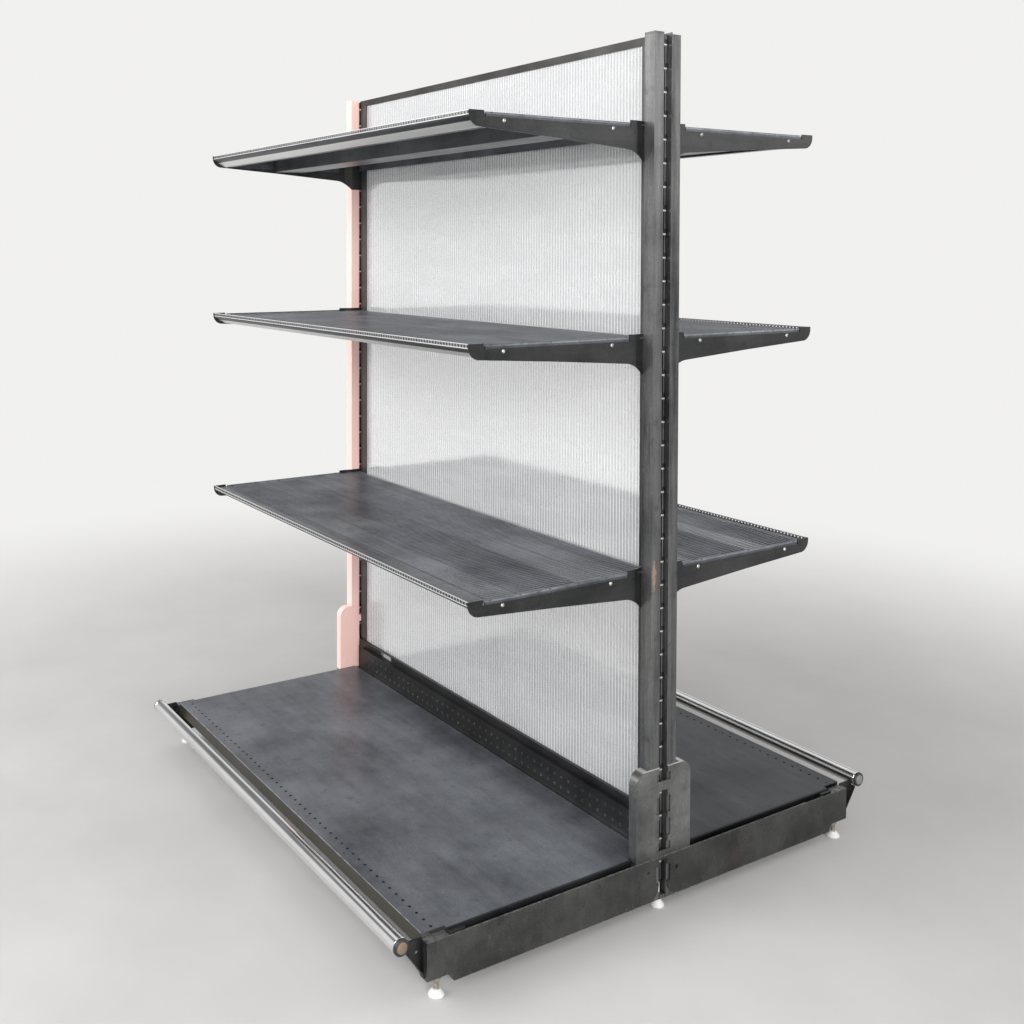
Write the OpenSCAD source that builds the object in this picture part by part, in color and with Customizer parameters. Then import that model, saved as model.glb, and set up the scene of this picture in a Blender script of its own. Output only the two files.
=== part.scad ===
// Two-sided gondola shelving, one bay, free-standing, in steel sheet with a fluted panel between
// the uprights. X runs along the bay, -Y is the front, +Y is the back and Z is up. The origin is
// on the floor under the middle of the bay. Most pieces come in front and back copies that mirror
// each other, so their outlines are drawn once, with the distance from the middle plane as y.

/* [Uprights] */
// Distance between the middle planes of the two uprights
bay_pitch = 1285; // [1000:1:1400]
// Width of an upright along the bay
upright_w = 30; // [28:1:36]
// Depth of an upright from front to back
upright_d = 75; // [70:1:90]
// Height of the upright's top edge
upright_top = 1866; // [1860:1:1900]
// Height of the underside of the upright's foot block
upright_bottom = 22; // [20:1:24]
// Height of the solid foot block at the bottom of an upright
foot_block_h = 8; // [6:1:10]
// Sheet thickness of the uprights
upright_wall = 2; // [1.5:0.1:2.5]
// Width of the groove down each side face of an upright
groove_w = 22; // [20:1:24]
// Depth of that groove
groove_depth = 10; // [8:0.5:11]
// Thickness of the cap on top of an upright
cap_t = 2; // [1.5:0.5:3]
// Extra height of the cap over the front part of the upright
cap_step = 3; // [2:0.5:4]

/* [Slots] */
// Width of the hanging slots in the groove
slot_w = 4; // [4:0.1:5]
// Height of a hanging slot
slot_h = 37; // [35:1:40]
// Distance from one slot to the next
slot_pitch = 50; // [48:1:54]
// Height of the bottom edge of the lowest slot
slot_first = 58; // [56:1:60]

/* [Panel] */
// Thickness of the fluted panel
panel_t = 10; // [8:1:10]
// Distance between the webs inside the panel
flute_pitch = 10; // [9:0.5:12]
// Thickness of the panel's skins and webs
flute_wall = 0.8; // [0.6:0.1:1.2]
// Sheet thickness of the rail, strips and channel round the panel
trim_t = 1.5; // [1.2:0.1:2]
// Width of the strips at the panel's two ends
side_strip_w = 34; // [25:1:45]
// Height of the bottom edge of the top rail
top_rail_z = 1852; // [1845:1:1854]
// Height of the top rail
top_rail_h = 18; // [15:1:22]
// Depth of the channel under the panel from front to back
channel_d = 28; // [24:1:32]
// Height of the channel under the panel
channel_h = 22; // [18:1:26]
// Length of the cut-out in the front wall of the channel
channel_cut_w = 61; // [40:1:80]
// Distance from the channel's far end to the middle of the cut-out
channel_cut_in = 158.5; // [60:0.5:400]

/* [Base] */
// Height of the cross beam's underside
beam_z = 112; // [110:1:116]
// Height of the cross beam
beam_h = 72; // [70:1:76]
// Distance of the riser strip's face from the middle plane
riser_y = 26; // [22:1:32]
// Distance from the uprights to the ends of a riser strip in the middle of the bay
riser_inset = 33.5; // [25:0.5:60]
// Place of the riser strips' middle along the bay
riser_x = 6; // [0:1:12]
// Diameter of the small holes in the riser strips
riser_hole_d = 5; // [4:0.5:6]
// Distance between those holes, and between the holes along the decks
hole_pitch = 25; // [24:1:30]
// Height of the lower row of holes
riser_row_z = 144; // [140:1:148]
// Height from the lower to the upper row of holes
riser_row_gap = 24; // [20:1:28]
// Distance from the middle plane to the outer end of a base leg
leg_end = 605; // [590:1:640]
// Height of the top edge of a base leg
leg_top = 115; // [112:1:116]
// Height of a base leg's bottom edge at its outer end
leg_bottom_out = 41; // [38:1:44]
// Height of the rest of its bottom edge
leg_bottom_in = 24; // [22:1:28]
// Length of the raised stretch of the bottom edge over the foot
leg_step = 56; // [50:1:70]
// Length of the flange over the outer end of a leg
corner_len = 52; // [40:1:52]
// Sheet thickness of the base legs
leg_t = 2.5; // [2:0.1:3]
// Width of the legs' folded flanges
leg_flange = 22; // [20:1:24]
// Height of the top of the leg's tab beside the upright
tab_top = 309; // [304:1:315]
// Distance from the middle plane to the outer edge of the tab
tab_end = 79; // [70:1:90]
// Radius of the tab's rounded corner
tab_r = 28; // [15:1:32]
// Depth of the notches in the tab's edge beside the slots
tab_notch = 8; // [4:1:10]
// Diameter of the hole in the back legs
leg_hole_d = 10; // [8:0.5:12]
// Height of that hole
leg_hole_z = 82; // [78:1:90]
// Distance of that hole from the middle plane
leg_hole_y = 39; // [36:1:44]
// Radius of the leg's corner beside the foot of the upright
heel_r = 34; // [20:1:40]
// Height of a deck's top face
deck_top = 122; // [120:1:124]
// Sheet thickness of the decks
deck_t = 1.5; // [1.2:0.1:2]
// Distance from the outer end of a leg back to the deck's outer edge
deck_back = 2; // [0:1:10]
// Depth of the fold along a deck's outer edge
deck_fold = 30; // [20:1:40]
// Distance from a deck's near edge to the outer face of the near leg
deck_inset = 10; // [8:1:14]
// Diameter of the holes along a deck's outer edge
deck_hole_d = 5; // [4:0.5:6]
// Depth of the folds along a deck's two sides
deck_side_fold = 12; // [8:1:16]
// Distance from a deck's outer edge to its row of holes
deck_hole_inset = 28; // [22:1:32]
// Distance from that row out to the few extra holes
extra_hole_out = 16; // [12:1:18]
// Distance between the extra holes
extra_hole_pitch = 215; // [150:1:230]
// Place of the extra holes' middle, from the middle of the deck
extra_hole_x = -21; // [-30:1:30]
// Distance from the outer end of a leg back to the middle of the base rail
base_rail_in = 71; // [70:1:100]
// Width of the base rails
base_rail_w = 36; // [30:1:36]
// Height of the base rails
base_rail_h = 38; // [30:1:44]

/* [Bumpers] */
// Outer diameter of a bumper tube
bumper_d = 33; // [28:1:36]
// Wall thickness of a bumper tube
bumper_wall = 1.5; // [1:0.1:2]
// Distance from the outer end of a leg to the axis of the bumper tube
bumper_out = 53; // [46:1:58]
// Height of a bumper tube's axis
bumper_z = 121; // [118:1:124]
// How far a bumper tube reaches past the inner faces of the far legs
bumper_past = 8; // [2:1:16]
// Distance from the near leg's outer face back to the tube's end
bumper_inset = 9; // [4:1:16]
// Length of the part of an end cap that shows
bumper_cap_len = 7; // [5:1:10]
// Length of an end cap's plug inside the tube
bumper_plug_len = 14; // [8:1:20]
// Sheet thickness of the bumper brackets
bumper_bracket_t = 3; // [2:0.5:4]

/* [Shelves] */
// Slot that carries the upper hooks of the low shelves, counted from the bottom
low_slot = 13; // [12:1:15]
// Slot that carries the upper hooks of the middle shelves
middle_slot = 23; // [21:1:25]
// Slot that carries the upper hooks of the top shelves
top_slot = 32; // [30:1:33]
// Height from the bottom of the upper hook's slot to the top of the bracket's nose
hook_drop = 24; // [20:1:28]
// Distance from the middle plane to the tip of a shelf bracket
bracket_tip = 493; // [400:1:520]
// Radius of the rounded nose of a bracket
nose_r = 26; // [22:1:30]
// Height of the flat part of the nose above the start of the rounding
nose_flat = 6; // [4:1:8]
// Length of the flat top of the nose
nose_len = 36; // [30:1:45]
// Sheet thickness of the brackets
bracket_t = 2.2; // [1.8:0.1:2.4]
// Sideways step of a bracket where it passes the upright
bracket_jog = 4.3; // [3.5:0.1:5]
// Depth of a bracket below its nose top, halfway along
bracket_mid_h = 44; // [42:1:50]
// Depth of a bracket below its nose top, at the start of its flare
bracket_root_h = 58; // [56:1:62]
// Distance from the middle plane to the start of a bracket's flare
flare_y = 90; // [86:1:110]
// Depth of a bracket below its nose top, beside the upright
bracket_heel_h = 84; // [83:1:86]
// Depth of the shelf surface below the nose top
shelf_drop = 5; // [4:0.5:6]
// Depth of the shelf's side edges below the nose top
edge_drop = 2; // [1:0.5:3]
// Height of the shelf's side edges
edge_h = 9; // [8:0.5:10]
// Sheet thickness of the shelves
shelf_t = 1.5; // [1.2:0.1:1.8]
// Distance of the shelf's rear edge from the middle plane
shelf_rear = 11; // [10:0.5:14]
// Depth of the folds down a shelf's sides
shelf_fold = 27; // [25:1:30]
// Depth of the fold down a shelf's rear edge
rear_fold = 22; // [16:1:26]
// Width of the fold back under the shelf's nose
nose_return = 34; // [25:1:40]
// Distance of the rail under a shelf from the middle plane
rail_y = 258; // [240:1:270]
// Width of the rail under a shelf
rail_w = 84; // [60:1:90]
// Depth of the rail under a shelf
rail_h = 33; // [28:1:34]
// Distance of the outer shelf screws from the middle plane
screw_out = 410; // [380:1:420]
// Distance of the inner shelf screws from the middle plane
screw_in = 128; // [110:1:150]
// Depth of the shelf screws below the nose top
screw_drop = 17; // [16.5:0.5:19]
// Diameter of the shelf screws
screw_d = 5; // [4:0.5:5]
// Diameter of a shelf screw's head
screw_head_d = 9; // [8:0.5:10]
// Height of a shelf screw's head
screw_head_h = 2.5; // [2:0.5:3]

/* [Hooks] */
// Sheet thickness of the hooks
hook_t = 1.5; // [1.2:0.1:1.6]
// Height of a hook
hook_h = 20; // [16:1:22]
// How far a hook's nose reaches down behind the slot
hook_nose = 9; // [6:1:10]
// Thickness of a hook's nose behind the slotted sheet
hook_grip = 3.1; // [2.5:0.1:4]

/* [Feet] */
// Distance from the outer end of a leg back to its foot
foot_in = 30; // [26:1:32]
// Diameter of an outer foot's pad
foot_pad_d = 32; // [28:1:36]
// Diameter of a middle foot's pad
middle_pad_d = 30; // [28:1:36]
// Height of a pad's straight rim
pad_rim_h = 4; // [3:1:6]
// Height of a pad at its middle
pad_h = 13; // [11:1:14]
// Diameter of the feet's studs
stud_d = 10; // [8:1:10]
// Height of the top of an outer foot's stud
stud_top = 64; // [60:1:70]
// Height of the top of a middle foot's stud
middle_stud_top = 50; // [46:1:52]
// Height of the lock nuts
nut_h = 8; // [6:1:8]
// Width of the lock nuts across their flats
nut_af = 17; // [16:1:18]

/* [Hidden] */
SIDES = ["front", "back"];
LEVELS = ["low", "middle", "top"];
PIECES = ["deck", "bracket_near", "bracket_far", "rail", "screws"];
CORNERS = ["near_front", "near_back", "far_front", "far_back"];
ENDS = ["near", "far"];
$fn = 48;

// Running gap between pieces that slide past each other
gap = 0.3;
// Gap round a stud or screw in its hole
bore_gap = 0.05;
// Small extra length with which a cut runs past a face
eps = 1;
// Gap between pieces that are fixed to each other
seat_gap = 0.1;

upright_x = bay_pitch / 2;
inner_x = upright_x - upright_w / 2;
web_t = upright_w - 2 * groove_depth;
block_top = upright_bottom + foot_block_h;
slot_count = floor((upright_top - slot_first - slot_h - 2) / slot_pitch) + 1;
tube_d = (upright_d - groove_w) / 2;
web_bottom = slot_first - 4;

// Gap between an upright and the strip over the panel's end
strip_gap = 5.5;
// Gap between an upright and the channel under the panel
channel_gap = 6;
// Play of the panel between the walls that hold it
panel_play = 0.2;
panel_x = inner_x - strip_gap;
channel_len = 2 * (inner_x - channel_gap);
trim_y = panel_t / 2 + panel_play + trim_t;
channel_z = beam_z + beam_h;
tongue_y = groove_w / 2 - gap;
riser_len = 2 * (inner_x - riser_inset);
riser_holes = floor((riser_len - 30) / hole_pitch) + 1;

// Gap between a leg's plate and the side of its upright
leg_gap = 0.2;
// Gap between a deck and what it lies beside
deck_gap = 2;
// Distance from a leg's plate to the axis of its foot
foot_side = 12;
// Run of the slanted step in a leg's bottom edge
step_run = 6;
leg_x = upright_x + upright_w / 2 + leg_gap;
tab_in = groove_w / 2 + 1;
leg_out = leg_x + leg_t;
deck_end = leg_end - deck_back;
base_rail_y = leg_end - base_rail_in;
bumper_y = leg_end + bumper_out;
foot_y = leg_end - foot_in;
deck_near = leg_out - deck_inset;
deck_far = leg_out - bay_pitch + deck_gap;
corner_y = leg_end - corner_len - deck_gap;
deck_rear = tab_end + 2 * deck_gap;
deck_tab_x = leg_out - leg_flange - deck_gap;
bumper_near = leg_out - bumper_inset;
bumper_far = leg_out - bay_pitch - bumper_past;
rail_top = deck_top - deck_t - seat_gap;
foot_x = leg_x - foot_side;
weld_nut_h = 8;
weld_nut_d = 18;
// Slots that hold the two hooks of a leg
LEG_HOOKS = [1, 4];

bracket_in = inner_x - gap - bracket_t;
bracket_x = bracket_in + bracket_jog;
// Distances from the middle plane to the two bends of a bracket's sideways step
jog_out = 60;
jog_in = upright_d / 2 + 0.5;
nose_y = bracket_tip - nose_r;
nose_end = bracket_tip - nose_len;
// Half the gap between the front and the back hooks that share a slot
lug_y = 0.3;
// How far the shelf's rounded nose stays inside the bracket's nose
nose_step = 2;
// Length of the raised rear edge of a bracket past its sideways step
rear_len = 19;
// Height of that rear edge above the bracket's nose
rear_rise = 3;
shelf_x = bracket_x - gap;
shelf_nose_r = nose_r - nose_step;
rear_end = jog_out + rear_len;
side_start = rear_end + 2;
side_end = nose_end - 2;

function slot_z(i) = slot_first + i * slot_pitch;
function level_slot(l) = l == "low" ? low_slot : l == "middle" ? middle_slot : top_slot;
function level_z(l) = slot_z(level_slot(l)) + hook_drop;

steel = [0.24, 0.25, 0.26];
light_steel = [0.42, 0.42, 0.42];
chrome = [0.8, 0.8, 0.82];
plastic = [0.9, 0.9, 0.88];
rose = [0.93, 0.75, 0.7];

// Draws its children on the back side, or mirrors them to the front side
module on_side(s) mirror([0, s == "front" ? 1 : 0, 0]) children();

// Draws its children at the near end, or mirrors them to the far end
module at_end(e) mirror([e == "far" ? 1 : 0, 0, 0]) children();

// Extrudes an outline drawn in y and z along the bay
module along_x(x, len) translate([x, 0, 0]) rotate([90, 0, 90]) linear_extrude(len) children();

// Box given by its lowest and highest corners
module block(a, b) translate(a) cube(b - a);

// Plan of a tube with the uprights' sheet thickness
module tube_plan(w, d) {
    difference() {
        square([w, d], center = true);
        square([w - 2 * upright_wall, d - 2 * upright_wall], center = true);
    }
}

// Upright: a front and a back tube, the slotted web between them and the foot block below
module upright_body() {
    for (s = [-1, 1])
        translate([0, s * (groove_w + tube_d) / 2, block_top + seat_gap])
            linear_extrude(upright_top - block_top - seat_gap) tube_plan(upright_w, tube_d);
    difference() {
        translate([0, 0, web_bottom])
            linear_extrude(upright_top - web_bottom) tube_plan(web_t, groove_w - 2 * seat_gap);
        for (i = [0 : slot_count - 1])
            translate([-upright_w, -slot_w / 2, slot_z(i)])
                cube([2 * upright_w, slot_w, slot_h]);
    }
    difference() {
        block([-upright_w / 2, -upright_d / 2, upright_bottom],
              [upright_w / 2, upright_d / 2, block_top]);
        translate([0, 0, upright_bottom - eps])
            cylinder(d = stud_d + 2 * bore_gap, h = foot_block_h + 2 * eps);
    }
}

module upright_near() color(steel) translate([upright_x, 0, 0]) upright_body();

module upright_far() color(rose) translate([-upright_x, 0, 0]) upright_body();

// Plan of an upright's cap, with the two grooves left open
module cap_plan() {
    difference() {
        square([upright_w, upright_d], center = true);
        for (s = [-1, 1])
            translate([s * upright_w / 2, 0]) square([2 * groove_depth, groove_w], center = true);
    }
}

// Caps on the two uprights, higher over the front part and with a small lip behind the groove
module upright_caps() {
    lip_t = 2;
    color(steel)
        for (s = [-1, 1])
            translate([s * upright_x, 0, upright_top]) {
                linear_extrude(cap_t) cap_plan();
                translate([-upright_w / 2, -upright_d / 2, 0])
                    cube([upright_w, tube_d, cap_t + cap_step]);
                translate([-upright_w / 2, groove_w / 2, 0])
                    cube([upright_w, lip_t, cap_t + cap_step + 1]);
            }
}

// Twin-wall panel with upright flutes
module panel() {
    cells = floor((2 * panel_x - 2 * trim_t - 2) / flute_pitch);
    width = cells * flute_pitch + flute_wall;
    cell = flute_pitch - flute_wall;
    color([0.85, 0.86, 0.87, 0.6])
        translate([0, 0, channel_z + trim_t])
            linear_extrude(top_rail_z + top_rail_h - trim_t - 2 - channel_z - trim_t)
                difference() {
                    square([width, panel_t], center = true);
                    for (i = [0 : cells - 1])
                        translate([-width / 2 + flute_wall + i * flute_pitch, flute_wall - panel_t / 2])
                            square([cell, panel_t - 2 * flute_wall]);
                }
}

// Rail over the panel, with a tongue at each end that sits in the upright's groove
module top_rail() {
    len = 2 * (inner_x - 0.1);
    color(light_steel) {
        difference() {
            translate([-len / 2, -trim_y, top_rail_z]) cube([len, 2 * trim_y, top_rail_h]);
            translate([-len / 2 - eps, trim_t - trim_y, top_rail_z - eps])
                cube([len + 2 * eps, 2 * (trim_y - trim_t), top_rail_h - trim_t + eps]);
        }
        for (e = ENDS)
            at_end(e)
                block([inner_x - 4, trim_t - trim_y, top_rail_z + 1],
                      [inner_x + groove_depth - 0.1, trim_y - trim_t, top_rail_z + top_rail_h - 5]);
    }
}

// Channel strips over the panel's two ends
module side_strips() {
    color(steel)
        for (e = ENDS)
            at_end(e)
                difference() {
                    block([panel_x - side_strip_w, -trim_y, channel_z + channel_h],
                          [panel_x, trim_y, top_rail_z]);
                    block([panel_x - side_strip_w - eps, trim_t - trim_y, channel_z],
                          [panel_x - trim_t, trim_y - trim_t, top_rail_z + eps]);
                }
}

// Channel that holds the panel's foot, with its lips turned in and one cut-out at the front
module panel_channel() {
    len = channel_len;
    half = channel_d / 2;
    top = channel_z + channel_h;
    cut_x = channel_cut_in - len / 2;
    color(steel)
        difference() {
            translate([-len / 2, -half, channel_z]) cube([len, channel_d, channel_h]);
            block([-len / 2 - eps, trim_t - half, channel_z + trim_t],
                  [len / 2 + eps, half - trim_t, top - trim_t]);
            block([-len / 2 - eps, -panel_t / 2 - panel_play, channel_z + 2 * trim_t],
                  [len / 2 + eps, panel_t / 2 + panel_play, top + eps]);
            block([cut_x - channel_cut_w / 2, -half - eps, channel_z + 5],
                  [cut_x + channel_cut_w / 2, trim_t + eps - half, top - trim_t - eps]);
        }
}

// Closed beam between the feet of the uprights, with a tongue at each end in the groove
module cross_beam() {
    half = channel_d / 2;
    far = bay_pitch - leg_out - gap;
    near = inner_x - seat_gap;
    color(steel) {
        difference() {
            block([-far, -half, beam_z], [near, half, channel_z]);
            block([-far + 3, trim_t - half, beam_z + trim_t], [near - 3, half - trim_t, channel_z - trim_t]);
        }
        for (e = ENDS)
            at_end(e)
                block([(e == "far" ? far : near) - 1, -tongue_y, slot_z(1) + hook_h + 4],
                      [inner_x + groove_depth - 0.1, tongue_y, channel_z - 4]);
    }
}

// Folded strip between a deck and the panel, with two rows of small holes
module riser_strip(s) {
    ledge_z = channel_z + 4;
    lip = 12;
    foot_z = rail_top - deck_t;
    step_z = foot_z + 11;
    first = riser_x - (riser_holes - 1) * hole_pitch / 2;
    color(steel)
        on_side(s)
            difference() {
                along_x(riser_x - riser_len / 2, riser_len)
                    polygon([[riser_y + lip, foot_z], [riser_y + lip, rail_top], [riser_y + 1, rail_top],
                             [riser_y + 1, step_z], [riser_y, step_z + 1], [riser_y, ledge_z],
                             [channel_d / 2 + 0.1, ledge_z], [channel_d / 2 + 0.1, ledge_z - deck_t],
                             [riser_y - deck_t, ledge_z - deck_t], [riser_y - deck_t, foot_z]]);
                for (i = [0 : riser_holes - 1])
                    for (row = [0, 1])
                        translate([first + i * hole_pitch, riser_y - deck_t - eps,
                                   riser_row_z + row * riser_row_gap])
                            rotate([-90, 0, 0])
                                cylinder(d = riser_hole_d, h = deck_t + 2 * eps, $fn = 16);
            }
}

// Outline of the tab that rises from a leg beside the upright, shrunk by t along its outer edge
module tab_outline(t) {
    r = tab_r - t;
    w = tab_end - t - tab_in;
    h = tab_top - t - leg_bottom_in;
    translate([tab_in, leg_bottom_in]) {
        square([w - r, h]);
        square([w, h - r]);
        translate([w - r, h - r]) circle(r);
    }
}

// Bottom edge of a leg from its heel to its outer end, moved up and inward by t
function leg_bottom_line(t) = [
    [tab_in + heel_r, leg_bottom_in + t],
    [leg_end - leg_step - step_run - t, leg_bottom_in + t],
    [leg_end - leg_step - t, leg_bottom_out + t],
    [leg_end, leg_bottom_out + t]];

// Section of the fold along a leg's bottom edge
module leg_bottom_fold() {
    upper = leg_bottom_line(leg_t);
    last = len(upper) - 1;
    polygon(concat(leg_bottom_line(0), [for (i = [0 : last]) upper[last - i]]));
}

// Outline of a base leg's plate
module leg_outline(s) {
    difference() {
        union() {
            polygon(concat([[tab_in, leg_bottom_in]], leg_bottom_line(0),
                           [[leg_end, leg_top], [tab_in, leg_top]]));
            tab_outline(0);
        }
        difference() {
            translate([tab_in - eps, leg_bottom_in - eps]) square(heel_r + eps);
            translate([tab_in + heel_r, leg_bottom_in + heel_r]) circle(heel_r);
        }
        for (i = [0 : floor((tab_top - slot_first - slot_h) / slot_pitch)])
            translate([tab_in - eps, slot_z(i)]) square([tab_notch + eps, slot_h]);
        if (s == "back") translate([leg_hole_y, leg_hole_z]) circle(d = leg_hole_d);
        if (s == "front") translate([leg_hole_y, leg_hole_z + 6]) square([7, 3]);
    }
}

// One base leg: plate, folds, weld nut for the foot and two hooks in the upright's slots
module base_leg(s) {
    flange_x = leg_out - leg_flange;
    difference() {
        union() {
            along_x(leg_x, leg_t) leg_outline(s);
            along_x(flange_x, leg_flange)
                difference() {
                    tab_outline(0);
                    tab_outline(leg_t);
                    square([tab_end - tab_r - 4, tab_top + eps]);
                    square([tab_end + eps, leg_top - 1]);
                }
            along_x(flange_x, leg_flange) leg_bottom_fold();
            block([flange_x, leg_end - leg_t, leg_bottom_out], [leg_out, leg_end, leg_top]);
            block([flange_x, leg_end - corner_len, leg_top - leg_t], [leg_out, leg_end, leg_top]);
            translate([foot_x, foot_y, leg_bottom_out + 1])
                cylinder(d = weld_nut_d, h = leg_t + weld_nut_h - 1);
            for (i = LEG_HOOKS) leg_hook(i);
        }
        translate([foot_x, foot_y, leg_bottom_out - eps])
            cylinder(d = stud_d + 2 * bore_gap, h = leg_t + weld_nut_h + 3 * eps);
    }
}

// Hook of a leg in slot i: a strip past the groove, a lug through the slot and its nose
module leg_hook(i) {
    sheet_x = upright_x + web_t / 2 - upright_wall;
    tip_x = sheet_x - gap - hook_grip;
    z = slot_z(i) + seat_gap;
    block([leg_x, lug_y, z], [leg_out, tab_in + 10, z + hook_h]);
    block([tip_x, lug_y, z], [leg_out, lug_y + hook_t, z + hook_h]);
    block([tip_x, lug_y, z - hook_nose], [sheet_x - gap, lug_y + hook_t, z + 1]);
}

// Puts a leg at its corner; the far legs stand on the inner side of the far upright
module corner(c) {
    s = c == "near_front" || c == "far_front" ? "front" : "back";
    x = c == "far_front" || c == "far_back" ? -bay_pitch : 0;
    translate([x, 0, 0]) on_side(s) children();
}

module corner_leg(c) {
    s = c == "near_front" || c == "far_front" ? "front" : "back";
    color(steel) corner(c) base_leg(s);
}

// Rails between the base legs under the outer part of each deck
module base_rails() {
    x0 = leg_out - bay_pitch + seat_gap;
    x1 = leg_x - seat_gap;
    y0 = base_rail_y - base_rail_w / 2;
    color(steel)
        for (s = SIDES)
            on_side(s)
                difference() {
                    block([x0, y0, rail_top - base_rail_h], [x1, y0 + base_rail_w, rail_top]);
                    block([x0 - eps, y0 + leg_t, rail_top - base_rail_h - eps],
                          [x1 + eps, y0 + base_rail_w - leg_t, rail_top - leg_t]);
                }
}

// Plan of a deck, with notches for the near upright, the tabs and the leg's corners
module deck_plan() {
    rear = riser_y + 2;
    upright_y = upright_d / 2 + 0.5;
    upright_in = inner_x - gap;
    polygon([[deck_far, rear], [upright_in, rear], [upright_in, upright_y], [deck_tab_x, upright_y],
             [deck_tab_x, deck_rear], [deck_near, deck_rear], [deck_near, corner_y],
             [deck_tab_x, corner_y], [deck_tab_x, deck_end], [deck_far, deck_end]]);
}

// One round hole through a deck
module deck_hole(x, y)
    translate([x, y, deck_top - deck_t - eps])
        cylinder(d = deck_hole_d, h = deck_t + 2 * eps, $fn = 16);

// Row of holes along a deck's outer edge, and the few extra holes outside it
module deck_holes() {
    row_y = deck_end - deck_hole_inset;
    half = floor((deck_near - 30) / hole_pitch);
    extras = floor((deck_near - deck_far - 100) / extra_hole_pitch);
    extra_mid = (deck_near + deck_far) / 2 + extra_hole_x;
    for (i = [-half : half]) deck_hole(i * hole_pitch + 2, row_y);
    for (i = [0 : extras])
        deck_hole(extra_mid + (i - extras / 2) * extra_hole_pitch, row_y + extra_hole_out);
}

// Base deck: a sheet folded down along its outer edge and its sides, with its holes
module base_deck(s) {
    fold_z = deck_top - deck_side_fold;
    fold_end = base_rail_y - base_rail_w / 2 - 1;
    color(steel)
        on_side(s)
            difference() {
                union() {
                    translate([0, 0, deck_top - deck_t]) linear_extrude(deck_t) deck_plan();
                    block([deck_far, deck_end - deck_t, deck_top - deck_fold],
                          [deck_tab_x, deck_end, deck_top]);
                    for (x = [deck_near - deck_t, deck_far])
                        block([x, deck_rear, fold_z], [x + deck_t, fold_end, deck_top]);
                }
                deck_holes();
            }
}

// Bumper tubes along the outer edges of the two decks
module bumper_tubes() {
    color(chrome)
        for (s = SIDES)
            on_side(s)
                translate([bumper_far, bumper_y, bumper_z])
                    rotate([0, 90, 0])
                        difference() {
                            cylinder(d = bumper_d, h = bumper_near - bumper_far);
                            translate([0, 0, -eps])
                                cylinder(d = bumper_d - 2 * bumper_wall,
                                         h = bumper_near - bumper_far + 2 * eps);
                        }
}

// Domed plug in the end of a bumper tube, drawn with its flange at z = 0
module tube_plug() {
    r = bumper_d / 2;
    plug_r = r - bumper_wall - seat_gap;
    rotate_extrude()
        polygon([[0, -bumper_plug_len], [plug_r, -bumper_plug_len], [plug_r, 0], [r + 1, 0],
                 [r + 1, bumper_cap_len - 3], [r - 2, bumper_cap_len - 0.6],
                 [r / 2, bumper_cap_len], [0, bumper_cap_len]]);
}

module bumper_caps() {
    color(steel)
        for (s = SIDES)
            on_side(s) {
                translate([bumper_near + seat_gap, bumper_y, bumper_z])
                    rotate([0, 90, 0]) tube_plug();
                translate([bumper_far - seat_gap, bumper_y, bumper_z])
                    rotate([0, -90, 0]) tube_plug();
            }
}

// Three-cornered bracket between a leg's end and the bumper tube, with a folded lower edge
module bumper_bracket() {
    t = bumper_bracket_t;
    x = leg_out - leg_flange + 1;
    fold_w = leg_flange - 8;
    y0 = leg_end + seat_gap;
    y1 = bumper_y - bumper_d / 2 + 6;
    top = leg_top + 3;
    toe = leg_bottom_out + 4;
    tip = top - 14;
    difference() {
        union() {
            along_x(x, t) polygon([[y0, toe], [y0, top], [y1, top], [y1, tip]]);
            along_x(x, fold_w) polygon([[y0, toe], [y1, tip], [y1, tip + t], [y0, toe + 1.6 * t]]);
            block([x, y0, toe], [x + fold_w, y0 + t, top - 6]);
        }
        translate([x - eps, bumper_y, bumper_z])
            rotate([0, 90, 0]) cylinder(d = bumper_d + 2 * seat_gap, h = leg_flange + 2 * eps);
        translate([x - eps, y0 + 12, top - 26])
            rotate([0, 90, 0]) cylinder(d = 7, h = t + 2 * eps, $fn = 24);
    }
}

module bumper_brackets() {
    color(steel)
        for (c = CORNERS) corner(c) bumper_bracket();
}

// Side outline of a shelf bracket, measured from the top of its nose
module bracket_outline() {
    edge = edge_drop + edge_h;
    steps = 6;
    flare = [for (i = [0 : steps])
        [jog_in + i / steps * (flare_y - jog_in),
         -bracket_root_h - (bracket_heel_h - bracket_root_h) * pow(1 - i / steps, 2)]];
    difference() {
        union() {
            polygon(concat(
                [[nose_y, 0], [nose_end, 0], [nose_end, -edge], [rear_end, -edge],
                 [rear_end, rear_rise], [lug_y, rear_rise], [lug_y, -bracket_heel_h]],
                flare,
                [[(nose_y + flare_y) / 2, -bracket_mid_h], [nose_y, -nose_flat - nose_r]]));
            intersection() {
                translate([nose_y, -nose_flat]) circle(nose_r);
                translate([nose_y - 0.01, -nose_flat - nose_r]) square([nose_r + eps, nose_r]);
            }
            translate([nose_y - eps, -nose_flat]) square([nose_r + eps, nose_flat]);
        }
        for (y = [screw_in, screw_out])
            translate([y, -screw_drop]) circle(d = screw_d + 4 * bore_gap, $fn = 24);
    }
}

// Plan of the bracket's sheet, which steps inward to pass the upright
module bracket_path() {
    t = bracket_t;
    x0 = bracket_in;
    x1 = bracket_x;
    polygon([[x1, bracket_tip + eps], [x1 + t, bracket_tip + eps], [x1 + t, jog_out], [x0 + t, jog_in],
             [x0 + t, lug_y], [x0, lug_y], [x0, jog_in], [x1, jog_out]]);
}

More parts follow.
